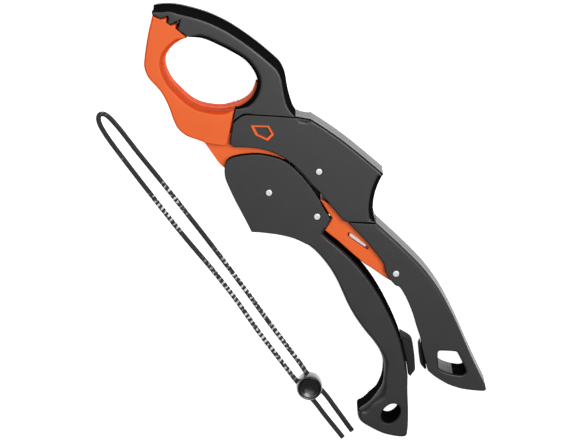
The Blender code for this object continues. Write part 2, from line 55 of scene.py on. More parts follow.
camera.matrix_world = Matrix.Translation(aim + look_from * 1.5) @ Matrix(
    (view_right, camera_up, look_from)).transposed().to_4x4()
COLLECTION.objects.link(camera)
bpy.context.scene.camera = camera
bpy.context.scene.view_settings.view_transform = "Standard"

world = bpy.data.worlds.new("studio")
world.use_nodes = True
world.node_tree.nodes["Background"].inputs["Color"].default_value = (1.0, 1.0, 1.0, 1.0)
world.node_tree.nodes["Background"].inputs["Strength"].default_value = 0.12
bpy.context.scene.world = world


def softbox(name, place, size, energy, target):
    lamp = bpy.data.lights.new(name, "AREA")
    lamp.shape = "SQUARE"
    lamp.size = size
    lamp.energy = energy
    holder = bpy.data.objects.new(name, lamp)
    holder.location = place
    holder.rotation_mode = "QUATERNION"
    holder.rotation_quaternion = (Vector(target) - Vector(place)).to_track_quat("-Z", "Y")
    COLLECTION.objects.link(holder)


softbox("overhead_softbox", (0.5, 0.3, 2.2), 2.2, 24.0, (0.0, 0.0, 0.0))
softbox("gradient_lamp", (0.26, 0.02, 0.62), 0.34, 3.0, (0.02, 0.02, 0.0))


class Socket:
    """A shader value that ordinary arithmetic can be done with."""

    def __init__(self, tree, link):
        self.tree = tree
        self.link = link

    def node(self, kind, settings=(), inputs=(), output=0):
        made = self.tree.nodes.new(kind)
        for key, value in dict(settings).items():
            if key == "stops":
                ramp = made.color_ramp
                ramp.elements[0].position = value[0][0]
                ramp.elements[0].color = value[0][1]
                ramp.elements[1].position = value[-1][0]
                ramp.elements[1].color = value[-1][1]
                for place, colour in value[1:-1]:
                    ramp.elements.new(place).color = colour
            else:
                setattr(made, key, value)
        for key, value in dict(inputs).items():
            if isinstance(value, Socket):
                self.tree.links.new(value.link, made.inputs[key])
            else:
                made.inputs[key].default_value = value
        return Socket(self.tree, made.outputs[output])

    def maths(self, operation, *values):
        return self.node("ShaderNodeMath", {"operation": operation}, dict(enumerate(values)))

    def __add__(self, other):
        return self.maths("ADD", self, other)

    def __sub__(self, other):
        return self.maths("SUBTRACT", self, other)

    def __mul__(self, other):
        return self.maths("MULTIPLY", self, other)

    def __truediv__(self, other):
        return self.maths("DIVIDE", self, other)

    def __radd__(self, other):
        return self.maths("ADD", other, self)

    def __rsub__(self, other):
        return self.maths("SUBTRACT", other, self)

    def __rmul__(self, other):
        return self.maths("MULTIPLY", other, self)

    def between(self, low, high):
        return self.node("ShaderNodeMapRange", {"interpolation_type": "SMOOTHSTEP"},
                         {"Value": self, "From Min": low, "From Max": high})

    def noise(self, scale, detail=3.0, rough=0.5):
        return self.node("ShaderNodeTexNoise", {},
                         {"Vector": self, "Scale": scale, "Detail": detail, "Roughness": rough})

    def tint(self, first, second):
        """Mix two colours by this value."""
        return self.node("ShaderNodeMix", {"data_type": "RGBA"}, {0: self, 6: first, 7: second}, 2)


def new_finish(name, **fixed):
    """Start a finish: its shader, its object coordinates, and the constants set on its sockets."""
    made = bpy.data.materials.new(name)
    made.use_nodes = True
    tree = made.node_tree
    shader = tree.nodes["Principled BSDF"]
    for key, value in fixed.items():
        shader.inputs[key.replace("_", " ")].default_value = value
    start = Socket(tree, None)
    place = start.node("ShaderNodeTexCoord", output=3)
    return made, shader, place


def feed(shader, socket, value):
    value.tree.links.new(value.link, shader.inputs[socket])


def emboss(shader, height, strength, distance):
    feed(shader, "Normal", height.node("ShaderNodeBump", {}, {"Strength": strength, "Distance": distance,
                                                              "Height": height}))


table, table_shader, spot = new_finish("pale_table", Roughness=0.9, Emission_Strength=0.85,
                                       Emission_Color=(1.0, 1.0, 1.0, 1.0))
feed(table_shader, "Base Color", spot.noise(6.0).tint((0.93, 0.93, 0.93, 1), (0.95, 0.95, 0.95, 1)))
floor_mesh = bpy.data.meshes.new("floor")
bm = bmesh.new()
bmesh.ops.create_grid(bm, x_segments=1, y_segments=1, size=3.0)
bm.to_mesh(floor_mesh)
bm.free()
floor_mesh.materials.append(table)
floor = bpy.data.objects.new("floor", floor_mesh)
floor.location.z = -0.0002
COLLECTION.objects.link(floor)

# Lanyard. One length of 2.5 mm round braided cord, lying loose on the table beside the grip. It goes
# up through the lock, round the loop and back down through the lock, and both ends are heat cut.
TAIL_LEFT = [(-79.7, -90.6, 3.2), (-80.1, -95.2, 1.6), (-80.6, -101.0, 1.25), (-81.2, -116.1, 1.25)]
LOOP_PATH = [(-79.6, -77.2, 3.2), (-79.7, -73.6, 1.6), (-79.3, -66.0, 1.25), (-78.0, -46.3, 1.25),
             (-76.0, -27.0, 1.25), (-75.0, -8.0, 1.25), (-74.6, 15.7, 1.25), (-73.4, 40.0, 1.25),
             (-72.0, 63.1, 1.25), (-70.8, 77.0, 1.25), (-69.2, 84.4, 1.25), (-66.6, 87.2, 1.25),
             (-64.1, 85.0, 1.25), (-63.6, 77.0, 1.25), (-64.5, 60.0, 1.25), (-65.3, 38.0, 1.25),
             (-67.0, 5.0, 1.25), (-69.0, -24.0, 1.25), (-71.0, -47.0, 1.25), (-72.3, -66.0, 1.25),
             (-72.8, -73.6, 1.6), (-73.0, -77.0, 3.2)]
TAIL_RIGHT = [(-73.1, -90.7, 3.2), (-73.5, -95.2, 1.6), (-74.2, -102.0, 1.25), (-75.5, -116.4, 1.25)]
INSIDE_LOCK = 3.5
CORD_RADIUS = 1.25

braid, braid_shader, spot = new_finish("braided_cord", Roughness=0.75)
split = spot.tree.nodes.new("ShaderNodeSeparateXYZ")
spot.tree.links.new(spot.link, split.inputs[0])
across, along = Socket(spot.tree, split.outputs[0]), Socket(spot.tree, split.outputs[1])
strands = (along + across) * 3600.0
counter = (along - across) * 3600.0
weave = strands.maths("SINE", strands) * counter.maths("SINE", counter) * 0.5 + 0.5
rows = along * 2600.0
fleck_rows = rows.maths("SINE", rows).between(-0.2, 0.5)
fleck_patches = spot.noise(700.0, 2.0).between(0.46, 0.54)
above_lock = along.between(-0.080, -0.070) * (1 - along.between(-0.014, 0.004))
scattered = spot.noise(22.0, 1.0).between(0.52, 0.60)
fleck_zone = above_lock.maths("MAXIMUM", above_lock, scattered)
thread = weave.tint((0.008, 0.008, 0.009, 1), (0.028, 0.028, 0.030, 1))
flecks = fleck_rows * fleck_patches * fleck_zone
feed(braid_shader, "Base Color", flecks.tint(thread, (0.72, 0.72, 0.72, 1)))
emboss(braid_shader, weave, 0.6, 0.0003)


def eased_path(points, per):
    """Open smooth curve through points in space, in metres."""
    knots = [Vector(p) * MM for p in points]
    out = []
    for i in range(len(knots) - 1):
        before = knots[max(i - 1, 0)]
        a, b = knots[i], knots[i + 1]
        after = knots[min(i + 2, len(knots) - 1)]
        for k in range(per):
            t = k / per
            out.append(0.5 * ((2 * a) + (b - before) * t + (2 * before - 5 * a + 4 * b - after) * t * t
                              + (3 * a - before - 3 * b + after) * t ** 3))
    out.append(knots[-1])
    return out


def run_through(*points):
    return [(x, y, INSIDE_LOCK) for x, y in points]


left_run = run_through((-79.7, -87.0), (-79.7, -81.0))
right_run = run_through((-73.0, -81.0), (-73.1, -87.0))
cord_path = eased_path(TAIL_LEFT[::-1] + left_run + LOOP_PATH + right_run + TAIL_RIGHT, 6)
line = bpy.data.curves.new("lanyard_cord", "CURVE")
line.dimensions = "3D"
line.bevel_depth = CORD_RADIUS * MM
line.bevel_resolution = 4
line.use_fill_caps = True
run = line.splines.new("POLY")
run.points.add(len(cord_path) - 1)
for point, place in zip(run.points, cord_path):
    point.co = (*place, 1.0)
run.use_smooth = True
line.materials.append(braid)
lanyard = bpy.data.objects.new("lanyard_cord", line)
COLLECTION.objects.link(lanyard)
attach(lanyard, "lanyard")
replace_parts(lanyard, "lanyard_loop", "lanyard_tail_left", "lanyard_tail_right")

# Cord lock. A glossy moulded drum with a dished top and a sprung press button; the two runs of
# cord are pinched inside it.
LOCK_POS = (-76.1, -83.8)

gloss, gloss_shader, spot = new_finish("gloss_lock", Roughness=0.24, Coat_Weight=0.3, Coat_Roughness=0.08)
feed(gloss_shader, "Base Color", spot.noise(300.0).tint((0.008, 0.008, 0.009, 1), (0.016, 0.016, 0.017, 1)))


def show(name, shape, finish, body, crease=35.0, dark=None, dark_where=None):
    """Turn a worked bmesh into a finished piece on its body, with painted shade (a darker copy of the finish)
    where a test says so.
    """
    shape.normal_update()
    for face in shape.faces:
        face.material_index = int(bool(dark and dark_where(face.calc_center_median(), face.normal)))
    mesh = bpy.data.meshes.new(name)
    shape.to_mesh(mesh)
    shape.free()
    for worn in (finish, dark):
        if worn:
            mesh.materials.append(worn)
    mesh.polygons.foreach_set("use_smooth", [True] * len(mesh.polygons))
    mesh.set_sharp_from_angle(angle=math.radians(crease))
    made = bpy.data.objects.new(name, mesh)
    COLLECTION.objects.link(made)
    even = made.modifiers.new("even_shading", "WEIGHTED_NORMAL")
    even.keep_sharp = True
    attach(made, body)
    return made


def turned(name, profile, centre, finish, body, steps=64):
    """Turned solid: a profile of (radius, height) spun about a vertical axis."""
    shape = bmesh.new()
    row = [shape.verts.new((r * MM, 0.0, z * MM)) for r, z in profile]
    edges = [shape.edges.new(pair) for pair in zip(row, row[1:])]
    bmesh.ops.spin(shape, geom=row + edges, cent=(0, 0, 0), axis=(0, 0, 1), angle=math.tau, steps=steps,
                   use_merge=True, use_duplicate=False)
    bmesh.ops.remove_doubles(shape, verts=shape.verts, dist=1e-6)
    bmesh.ops.recalc_face_normals(shape, faces=shape.faces)
    bmesh.ops.translate(shape, vec=(centre[0] * MM, centre[1] * MM, 0.0), verts=shape.verts)
    return show(name, shape, finish, body)


LOCK_SHELL = [(0, 0.2), (5.2, 0.2), (6.1, 0.7), (6.45, 1.8), (6.5, 3.4), (6.48, 6.2), (6.4, 8.2), (6.1, 9.3),
              (5.75, 9.8), (5.45, 9.95), (5.15, 9.85), (5.0, 9.5), (4.95, 6.3), (3.35, 6.2), (3.35, 5.4),
              (0, 5.4)]
LOCK_BUTTON = [(0, 8.35), (4.6, 8.35), (4.82, 8.6), (4.85, 9.75), (4.75, 10.1), (4.5, 10.3), (4.2, 10.28),
               (3.6, 9.95), (2.6, 9.6), (1.3, 9.4), (0, 9.35)]
lock_drum = turned("cord_lock_drum", LOCK_SHELL, LOCK_POS, gloss, "lanyard")
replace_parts(lock_drum, "cord_lock_body")
press = turned("cord_lock_press_button", LOCK_BUTTON, LOCK_POS, gloss, "lock_button")
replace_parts(press, "cord_lock_button")
length = sum((b - a).length for a, b in zip(cord_path, cord_path[1:]))
tuple(cord_path[0])

# Upper jaw. The fixed black hook, moulded with a forked root that straddles the orange core and a
# tang that is screwed between the covers. Its crown is flat and its edges fall away in a long round.
UPPER_JAW = [(-11.6, 110.7, 1), (-10.6, 111.6), (-7.6, 110.0), (-3.6, 106.8), (0.4, 102.3), (6.7, 93.0),
             (11.2, 83.5), (14.2, 74.0), (16.4, 64.5), (18.0, 54.5), (18.1, 50.5), (16.6, 45.6),
             (12.5, 38.5), (9.4, 31.5), (8.6, 27.9, 1), (4.9, 31.7, 1), (-5.0, 41.1), (-9.3, 44.9),
             (-12.0, 45.7), (-16.0, 45.9, 1), (-10.8, 49.7, 1), (-9.0, 49.0), (-5.0, 48.3), (-1.0, 48.7),
             (3.0, 50.6), (6.3, 54.0), (7.8, 59.3), (7.7, 65.3), (5.4, 72.3), (2.9, 78.3), (-0.6, 85.3),
             (-5.6, 91.3, 1), (-6.6, 96.4, 1), (-6.7, 97.6, 1), (-4.4, 99.6, 1), (-8.0, 101.2, 1),
             (-8.5, 102.8, 1), (-6.2, 105.3, 1), (-9.7, 106.5, 1)]
JAW_TANG = [(-3.0, 44.0, 1), (4.0, 40.0, 1), (9.0, 36.0, 1), (7.6, 31.5, 1), (5.8, 29.2, 1), (5.8, 27.0, 1),
            (9.6, 20.4, 1), (12.2, 12.4, 1), (11.6, 10.5, 1), (7.0, 10.8, 1), (5.0, 18.0, 1), (3.9, 26.0, 1),
            (4.0, 31.6, 1)]
JAW_SEAMS = [((-16.0, 45.9), (-10.8, 49.7)), ((8.6, 27.9), (4.9, 31.7)), ((4.9, 31.7), (-5.0, 41.1)),
             ((-5.0, 41.1), (-12.0, 45.7)), ((-12.0, 45.7), (-16.0, 45.9)), ((-5.6, 91.3), (-6.6, 96.4)),
             ((-6.7, 97.6), (-8.5, 102.8)), ((-6.2, 105.3), (-9.7, 106.5)), ((-9.7, 106.5), (-11.6, 110.7))]
CASE_SCREWS = [(9.2, 15.4), (13.5, -12.5), (6.0, -25.5), (2.6, -84.0), (-4.6, -106.5)]
CORE_LOW, CORE_HIGH = 7.1, 13.9
THICK = 21.0
MID = THICK / 2
JAW_AXIS = (0.0, 0.0)

shell, shell_shader, spot = new_finish("black_shell", Roughness=0.42)
mottle = spot.noise(90.0, 4.0)
grain = spot.noise(2600.0, 2.0)
feed(shell_shader, "Base Color", mottle.tint((0.011, 0.0112, 0.0116, 1), (0.017, 0.0172, 0.0178, 1)))
feed(shell_shader, "Roughness", mottle * 0.08 + (grain * 0.10 + 0.34))
emboss(shell_shader, grain, 0.12, 0.00008)

# Darker, matt copy of the black shell: painted shade, put on walls, grooves and rounds where shade falls.
shade_black, shade_black_shader, spot = new_finish("painted_shade_wall", Roughness=0.85, Specular_IOR_Level=0.0)
feed(shade_black_shader, "Base Color", spot.noise(500.0).tint((0.004, 0.004, 0.0042, 1), (0.007, 0.007, 0.0073, 1)))
emboss(shade_black_shader, spot.noise(2600.0, 2.0), 0.2, 0.00008)


def smooth_loop(spec, per=6):
    """Closed outline through the given points, straight into and out of sharp corners."""
    count = len(spec)
    points = [Vector(p[:2]) for p in spec]
    sharp = [len(p) > 2 and p[2] == 1 for p in spec]
    out = []
    for i in range(count):
        j = (i + 1) % count
        a, b = points[i], points[j]
        out.append(a)
        if sharp[i] and sharp[j]:
            pieces = max(1, int((b - a).length / 1.5))
            out += [a.lerp(b, k / pieces) for k in range(1, pieces)]
            continue
        start = (b - a) if sharp[i] else (b - points[i - 1]) * 0.5
        end = (b - a) if sharp[j] else (points[(j + 1) % count] - a) * 0.5
        limit = (b - a).length * 1.1
        start = start.normalized() * min(start.length, limit)
        end = end.normalized() * min(end.length, limit)
        for k in range(1, per):
            t = k / per
            t2, t3 = t * t, t * t * t
            out.append(a * (2 * t3 - 3 * t2 + 1) + start * (t3 - 2 * t2 + t)
                       + b * (3 * t2 - 2 * t3) + end * (t3 - t2))
    area = sum(a.x * b.y - b.x * a.y for a, b in zip(out, out[1:] + out[:1]))
    return out if area > 0 else out[::-1]


def disc_loop(centre, radius, count=48):
    return [Vector((centre[0] + radius * math.cos(math.tau * k / count),
                    centre[1] + radius * math.sin(math.tau * k / count))) for k in range(count)]


def untangled(loop, away, shape):
    """Shrink a rim where its inner line would fold over itself."""
    count = len(loop)
    for _ in range(60):
        inner = [p - n * inset for p, n, (inset, _) in zip(loop, away, shape)]
        folded = {i for i in range(count)
                  if (inner[(i + 1) % count] - inner[i]).dot(loop[(i + 1) % count] - loop[i])
                  < 0.12 * (loop[(i + 1) % count] - loop[i]).length_squared}
        if not folded:
            break
        folded |= {(i + 1) % count for i in folded}
        shape = [(inset * 0.85, depth * 0.85) if i in folded else (inset, depth)
                 for i, (inset, depth) in enumerate(shape)]
    return shape


def slab(loop, low, high, top=(0.0, 0.0), bottom=(0.0, 0.0), steps=6, wall=()):
    """Solid on an outline, with rounded rims: (inset, depth), or a function of a point that gives them.

    The wall is a list of (height, inset) steps between the rims, upwards; an inset may be a function too.
    """
    count = len(loop)
    away = []
    for i in range(count):
        before = (loop[i] - loop[i - 1]).normalized()
        after = (loop[(i + 1) % count] - loop[i]).normalized()
        side = Vector((before.y + after.y, -before.x - after.x))
        side.normalize()
        spread = max(0.55, side.dot(Vector((after.y, -after.x))))
        away.append(side / spread)
    stack = []
    for rim, base, sign in ((bottom, low, 1), (top, high, -1)):
        rows = []
        shape = untangled(loop, away, [rim(p) if callable(rim) else rim for p in loop])
        rounds = steps if any(depth > 0 for _, depth in shape) else 0
        for k in range(rounds + 1):
            turn = math.pi / 2 * (k / rounds if rounds else 1)
            rows.append([(p - n * inset * (1 - math.sin(turn)), base + sign * depth * (1 - math.cos(turn)))
                         for p, n, (inset, depth) in zip(loop, away, shape)])
        if sign < 0:
            for k, (height, inset) in enumerate(wall):
                dents = untangled(loop, away, [(inset(p) if callable(inset) else inset, 0.0) for p in loop])
                under = 0.02 * (len(wall) - k)      # a step never climbs into the rim above it
                stack.append([(p - n * dent, min(height, high - depth - under))
                              for p, n, (dent, _), (_, depth) in zip(loop, away, dents, shape)])
        stack += rows if sign > 0 else rows[::-1]
    made = bmesh.new()
    ring = [made.verts.new((p.x * MM, p.y * MM, z * MM)) for p, z in stack[0]]
    made.faces.new(ring)
    edges = list(made.edges)
    order = {v: i for i, v in enumerate(ring)}
    for row in stack[1:]:
        grown = bmesh.ops.extrude_edge_only(made, edges=edges)["geom"]
        fresh = {}
        for v in (g for g in grown if isinstance(g, bmesh.types.BMVert)):
            old = next(e.other_vert(v) for e in v.link_edges if e.other_vert(v) in order)
            fresh[v] = order[old]
        for v, i in fresh.items():
            point, z = row[i]
            v.co = (point.x * MM, point.y * MM, z * MM)
        edges = [g for g in grown if isinstance(g, bmesh.types.BMEdge) and all(v in fresh for v in g.verts)]
        order = fresh
    bmesh.ops.contextual_create(made, geom=edges)
    bmesh.ops.recalc_face_normals(made, faces=made.faces)
    bmesh.ops.triangulate(made, faces=[f for f in made.faces if len(f.verts) > 4])
    return made


def as_tool(shape):
    mesh = bpy.data.meshes.new("tool")
    shape.to_mesh(mesh)
    shape.free()
    made = bpy.data.objects.new("tool", mesh)
    COLLECTION.objects.link(made)
    return made


def solid_volume(mesh):
    probe = bmesh.new()
    probe.from_mesh(mesh)
    volume = probe.calc_volume()
    probe.free()
    return volume


NUDGES = (0.0, 0.004, -0.006, 0.011, -0.017)    # tried in turn where a cut meets an edge exactly


def worked(shape, *jobs):
    """Cut or join shapes in turn: each job is an operation and a bmesh. Gives back a bmesh."""
    base = as_tool(shape)
    for operation, other in jobs:
        before = solid_volume(base.data)
        tool = as_tool(other)
        step = base.modifiers.new("job", "BOOLEAN")
        step.operation = operation
        step.solver = "EXACT"
        step.object = tool
        for nudge in NUDGES:
            tool.location = Vector((nudge, -0.7 * nudge, 0.4 * nudge)) * MM
            bpy.context.view_layer.update()
            mesh = bpy.data.meshes.new_from_object(base.evaluated_get(bpy.context.evaluated_depsgraph_get()))
            after = solid_volume(mesh)
            if after > before * 0.999 if operation == "UNION" else before * 0.3 < after <= before * 1.001:
                break
        else:
            raise RuntimeError(operation + " left no sound solid")
        base.modifiers.clear()
        base.data = mesh
        bpy.data.objects.remove(tool, do_unlink=True)
    out = bmesh.new()
    out.from_mesh(base.data)
    bpy.data.objects.remove(base, do_unlink=True)
    bmesh.ops.remove_doubles(out, verts=out.verts, dist=2e-6)
    return out


def off_seams(seams, inset, depth, least=0.25, slope=0.45):
    """Rim that is full size away from the seams and shrinks to a small break on them."""
    def rim(point):
        gap = 99.0
        for a, b in seams:
            a, b = Vector(a), Vector(b)
            t = max(0.0, min(1.0, (point - a).dot(b - a) / (b - a).length_squared))
            gap = min(gap, (point - a.lerp(b, t)).length)
        share = min(1.0, (least + slope * gap) / max(inset, 0.01))
        return inset * share, depth * share
    return rim


def drum(centre, radius, low, high, count=48):
    return slab(disc_loop(centre, radius, count), low, high)


fork = smooth_loop([(-60, 88, 1), (-14, 60, 1), (4.9, 56, 1), (5.6, 50, 1), (5.2, 44, 1),
                    (3.2, 34, 1), (3.0, 20, 1), (-60, 20, 1)])


def on_ring(point, reach=1.12):
    return math.hypot((point.x + 9.5) / 18.5, (point.y - 70.5) / 23.5) < reach


FOOT_TOP = 3.7      # the flange at the back of the hook ends here; the walls above it are painted shade
CROWN = 0.9         # a face whose normal rises more than this belongs to the flat crown


def waist(point):
    return off_seams(JAW_SEAMS, 0.9, 0.0, least=0.0)(point)[0]


# Hook walls above the flange, below the flat crown, take the painted shade.
def above_foot(centre, normal):
    return centre.z > FOOT_TOP * MM and normal.z < CROWN


HOOK_WAIST = ((FOOT_TOP, 0.0), (4.2, waist), (16.6, waist), (17.1, 0.0))
hook = slab(smooth_loop(UPPER_JAW), 0.0, THICK, off_seams(JAW_SEAMS, 2.7, 3.1),
            off_seams(JAW_SEAMS, 1.0, 1.2), 8, wall=HOOK_WAIST)
hook = worked(hook, ("UNION", worked(slab(smooth_loop(JAW_TANG), 4.0, THICK - 4.0),
                                     ("DIFFERENCE", drum(CASE_SCREWS[0], 1.6, 0, THICK)))),
              ("DIFFERENCE", slab(fork, CORE_LOW - 0.3, CORE_HIGH + 0.3)))
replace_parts(show("hook_jaw", hook, shell, "frame", dark=shade_black, dark_where=above_foot),
            "upper_jaw")

# Lower jaw. One orange moulding: the thick ring half with two small teeth, a stepped neck that dips
# under the handle head, and the core with the hub and its gear teeth.
LOWER_JAW = [(-12.0, 110.0, 1), (-20.3, 103.8), (-30.2, 94.9), (-32.5, 90.8), (-33.2, 87.2), (-33.0, 82.0),
             (-33.2, 78.0), (-34.7, 71.8), (-37.7, 63.8), (-38.5, 59.3), (-37.7, 54.8), (-35.2, 50.3),
             (-33.0, 46.4, 1), (-28.2, 40.9), (-26.2, 38.9, 1), (-24.6, 39.6, 1), (-11.3, 50.1, 1),
             (-13.1, 50.8), (-18.3, 54.4), (-23.4, 60.3), (-25.9, 66.3), (-26.9, 74.3), (-26.9, 80.3),
             (-24.8, 86.8), (-21.0, 91.0), (-15.6, 92.6), (-10.6, 92.4), (-6.2, 91.3, 1), (-7.2, 96.6, 1),
             (-7.5, 98.3, 1), (-5.4, 99.7, 1), (-8.4, 100.9, 1), (-9.0, 103.2, 1), (-7.1, 105.1, 1),
             (-10.1, 106.2, 1)]
JAW_CORE = [(-8.0, 93.5, 1), (-7.0, 90.7, 1), (-10.6, 91.6), (-15.5, 91.8), (-20.6, 90.2), (-24.1, 86.3),
            (-26.1, 80.1), (-26.1, 74.3), (-25.1, 66.5), (-22.7, 60.7), (-17.8, 55.0), (-12.8, 51.6),
            (-8.9, 49.9), (-5.0, 49.2), (-1.1, 49.6), (2.4, 51.3), (4.2, 52.6, 1), (5.0, 50.0), (4.7, 46.0),
            (2.4, 34.0), (2.6, 20.0), (7.0, 8.0, 1), (7.8, 0.0), (5.4, -5.6), (0.0, -7.8), (-5.6, -5.4, 1),
            (-8.0, 0.0, 1), (-7.4, 6.3, 1), (-6.0, 7.7, 1), (-6.9, 11.8, 1), (-9.0, 14.4, 1), (-12.4, 16.8, 1),
            (-17.0, 18.9, 1), (-24.0, 22.3), (-30.0, 26.3), (-34.6, 29.9, 1), (-34.9, 33.7), (-34.5, 38.7),
            (-34.2, 43.7, 1), (-34.4, 50.0, 1), (-36.2, 60.0, 1), (-31.4, 76.0, 1), (-31.0, 90.0, 1)]
JAW_STEP = [(-33.6, 46.6, 1), (-34.4, 38.7), (-34.8, 33.7), (-34.4, 30.3, 1), (-30.5, 28.3), (-24.5, 25.8),
            (-18.0, 21.9), (-12.4, 17.2), (-8.9, 14.8, 1), (-6.9, 15.2, 1), (-8.0, 22.0), (-12.0, 30.0),
            (-17.5, 37.6), (-21.0, 42.0, 1), (-26.0, 47.0, 1)]
BITE_SEAMS = [((-26.2, 38.9), (-33.0, 46.4)), ((-24.6, 39.6), (-11.3, 50.1)), ((-6.2, 91.3), (-7.5, 98.3)),
              ((-8.4, 100.9), (-9.0, 103.2)), ((-10.1, 106.2), (-12.0, 110.0)), ((-26.2, 38.9), (-24.6, 39.6))]
HANDLE_AXIS = (-25.3, 7.6)
GEAR_TEETH = (20, 16)
MESH_ANGLE = math.atan2(-HANDLE_AXIS[1], -HANDLE_AXIS[0])
MODULE = 2 * math.hypot(*HANDLE_AXIS) / sum(GEAR_TEETH)

orange, orange_shader, spot = new_finish("orange_moulding", Roughness=0.38, Specular_IOR_Level=0.35)
mottle = spot.noise(70.0, 4.0)
grain = spot.noise(2600.0, 2.0)
feed(orange_shader, "Base Color", mottle.tint((0.76, 0.108, 0.010, 1), (0.84, 0.128, 0.014, 1)))
feed(orange_shader, "Roughness", mottle * 0.08 + (grain * 0.08 + 0.32))
emboss(orange_shader, grain, 0.10, 0.00008)


# Darker, less glossy copy of the orange moulding: painted shade on the rounds and walls of the lower jaw.
shade_orange, shade_orange_shader, spot = new_finish("painted_shade_orange_rounds", Roughness=0.6, Specular_IOR_Level=0.08)
feed(shade_orange_shader, "Base Color", spot.noise(70.0, 4.0).tint((0.66, 0.062, 0.007, 1), (0.74, 0.076, 0.009, 1)))
emboss(shade_orange_shader, spot.noise(2600.0, 2.0), 0.10, 0.00008)


# Rounds and walls of the lower jaw take the painted shade orange.
def on_round(centre, normal):
    return abs(normal.z) < 0.93


def bite_rim(point):
    inset, depth = off_seams(BITE_SEAMS, 2.2, 3.2)(point)
    return (inset, depth) if on_ring(point) else (min(inset, 1.0), min(depth, 1.2))


def gear_loop(centre, teeth, first, last, phase, root_from, root_to):
    """Involute teeth numbered first..last about a phase angle, closed through the gear centre."""
    pitch_r = MODULE * teeth / 2
    press_pitch = math.radians(20.0)
    base_r = pitch_r * math.cos(press_pitch)
    root_r = pitch_r - 1.2 * MODULE
    tip_r = pitch_r + 0.9 * MODULE
    half = math.pi / (2 * teeth) - 0.16 / pitch_r
    flank = []
    for k in range(7):
        r = max(base_r, root_r) + (tip_r - max(base_r, root_r)) * k / 6
        press = math.acos(min(1.0, base_r / r))
        flank.append((r, half + math.tan(press_pitch) - press_pitch - math.tan(press) + press))
    if base_r > root_r:
        flank.insert(0, (root_r, flank[0][1]))
    polar = [(root_r, root_from)]
    for n in range(first, last + 1):
        middle = phase + math.tau * n / teeth
        polar += [(r, middle - w) for r, w in flank]
        polar += [(r, middle + w) for r, w in reversed(flank)]
    polar.append((root_r, root_to))
    return [Vector((centre[0] + r * math.cos(a), centre[1] + r * math.sin(a))) for r, a in polar] + [
        Vector(centre)]


jaw_gear = gear_loop(JAW_AXIS, GEAR_TEETH[1], -2, 1, MESH_ANGLE + math.pi,
                     math.radians(108), math.radians(196))
bite = worked(slab(smooth_loop(LOWER_JAW), 0.2, THICK - 0.1, bite_rim, bite_rim, 8),
              ("UNION", slab(smooth_loop(JAW_CORE), CORE_LOW, CORE_HIGH)),
              ("UNION", slab(smooth_loop(JAW_STEP), 4.2, 16.9)),
              ("UNION", slab(jaw_gear, CORE_LOW, CORE_HIGH)),
              ("DIFFERENCE", drum(JAW_AXIS, 2.9, 0, THICK)))
bite_jaw = show("bite_jaw", bite, orange, "jaw", dark=shade_orange, dark_where=on_round)
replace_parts(bite_jaw, "lower_jaw")

# Covers. Two black half shells, screwed together from the back over the jaw tang. Each carries a lug
# for the handle pivot, and the front one has a framed window with a generic orange insert.
COVER = [(-24.2, 38.4, 1), (-16.3, 45.2, 1), (-12.2, 45.3), (-9.4, 44.5), (-5.0, 40.7), (4.8, 31.3, 1),
         (9.0, 27.2, 1), (13.3, 22.0, 1), (16.0, 13.0), (18.5, 3.0), (20.6, -8.0), (22.1, -17.0),
         (22.8, -21.3, 1), (18.5, -23.2), (14.0, -25.9), (10.0, -29.2), (7.0, -32.8), (4.7, -37.3, 1),
         (-5.6, -27.9, 1), (-6.5, -26.6, 1), (-6.5, -20.0), (-6.3, -13.0), (-6.3, -8.0), (-6.7, -3.0),
         (-6.7, 3.0), (-7.0, 9.0), (-8.0, 13.8), (-9.2, 18.0), (-11.6, 23.0), (-15.1, 27.8), (-19.6, 32.3),
         (-23.6, 35.9)]
COVER_CAVITY = [(-30.0, 50.0, 1), (5.0, 50.0, 1), (6.4, 29.0, 1), (10.9, 20.8, 1), (13.5, 12.0, 1),
                (16.0, 1.5, 1), (18.1, -8.5, 1), (19.6, -17.5, 1), (18.6, -20.4, 1), (13.0, -23.4, 1),
                (8.6, -26.8, 1), (5.2, -30.6, 1), (1.0, -37.5, 1), (-12.0, -30.0, 1), (-12.0, 10.0, 1),
                (-30.0, 30.0, 1)]
BADGE = [(-10.6, 39.2, 1), (-3.6, 33.0, 1), (-4.6, 27.8, 1), (-9.2, 27.4, 1), (-12.0, 33.6, 1)]
LUG_LOW, LUG_HIGH = 14.2, 17.1
PLATE = 3.6
HALF_GAP = 0.15
BORE_R = 1.95


def cover_rim(point):
    if point.y < -20.0 and point.x > 4.0 and point.x + point.y * 0.1 < 20.4:
        return 3.0, 3.6     # finger scoop
    if point.x > 13.0:
        return 0.95, 0.6    # outer edge
    if point.y > 21.0 and point.x > 9.2:
        return 2.6, 3.0     # shoulder beside the hook
    return 0.5, 0.6


def side_of(front):
    """Heights for the front half as given, or turned over for the back half."""
    return (lambda low, high: (low, high)) if front else (lambda low, high: (THICK - high, THICK - low))


def half_slab(loop, front, low, rim, steps=6, wall=()):
    z = side_of(front)(low, THICK)
    if front:
        return slab(loop, *z, top=rim, steps=steps, wall=wall)
    return slab(loop, *z, bottom=rim, steps=steps)


EDGE_GROOVE = ((17.3, 0.0), (17.5, 0.35), (19.9, 0.35), (20.1, 0.0))     # shadow line just below the face
COVER_STEP = EDGE_GROOVE[:1]        # the cover has the painted shade above this height, but no groove
UPRIGHT = 0.35


# Walls in the groove below the face take the painted shade.
def in_groove(centre, normal):
    return abs(normal.z) < UPRIGHT and centre.z > EDGE_GROOVE[0][0] * MM


def shaded(centre, normal):
    """Where painted shade goes: the groove, the walls towards the moving handle, and the round of the finger
    scoop.
    """
    scoop = centre.y < -20.0 * MM and centre.x > 4.0 * MM and 15.0 * MM < centre.z and normal.z < 0.93
    return in_groove(centre, normal) or (abs(normal.z) < UPRIGHT and normal.x < 0.0) or scoop


def screw_hole(place):
    return worked(drum(place, 1.5, -1.0, 17.0), ("UNION", drum(place, 2.8, -1.0, 2.9)))


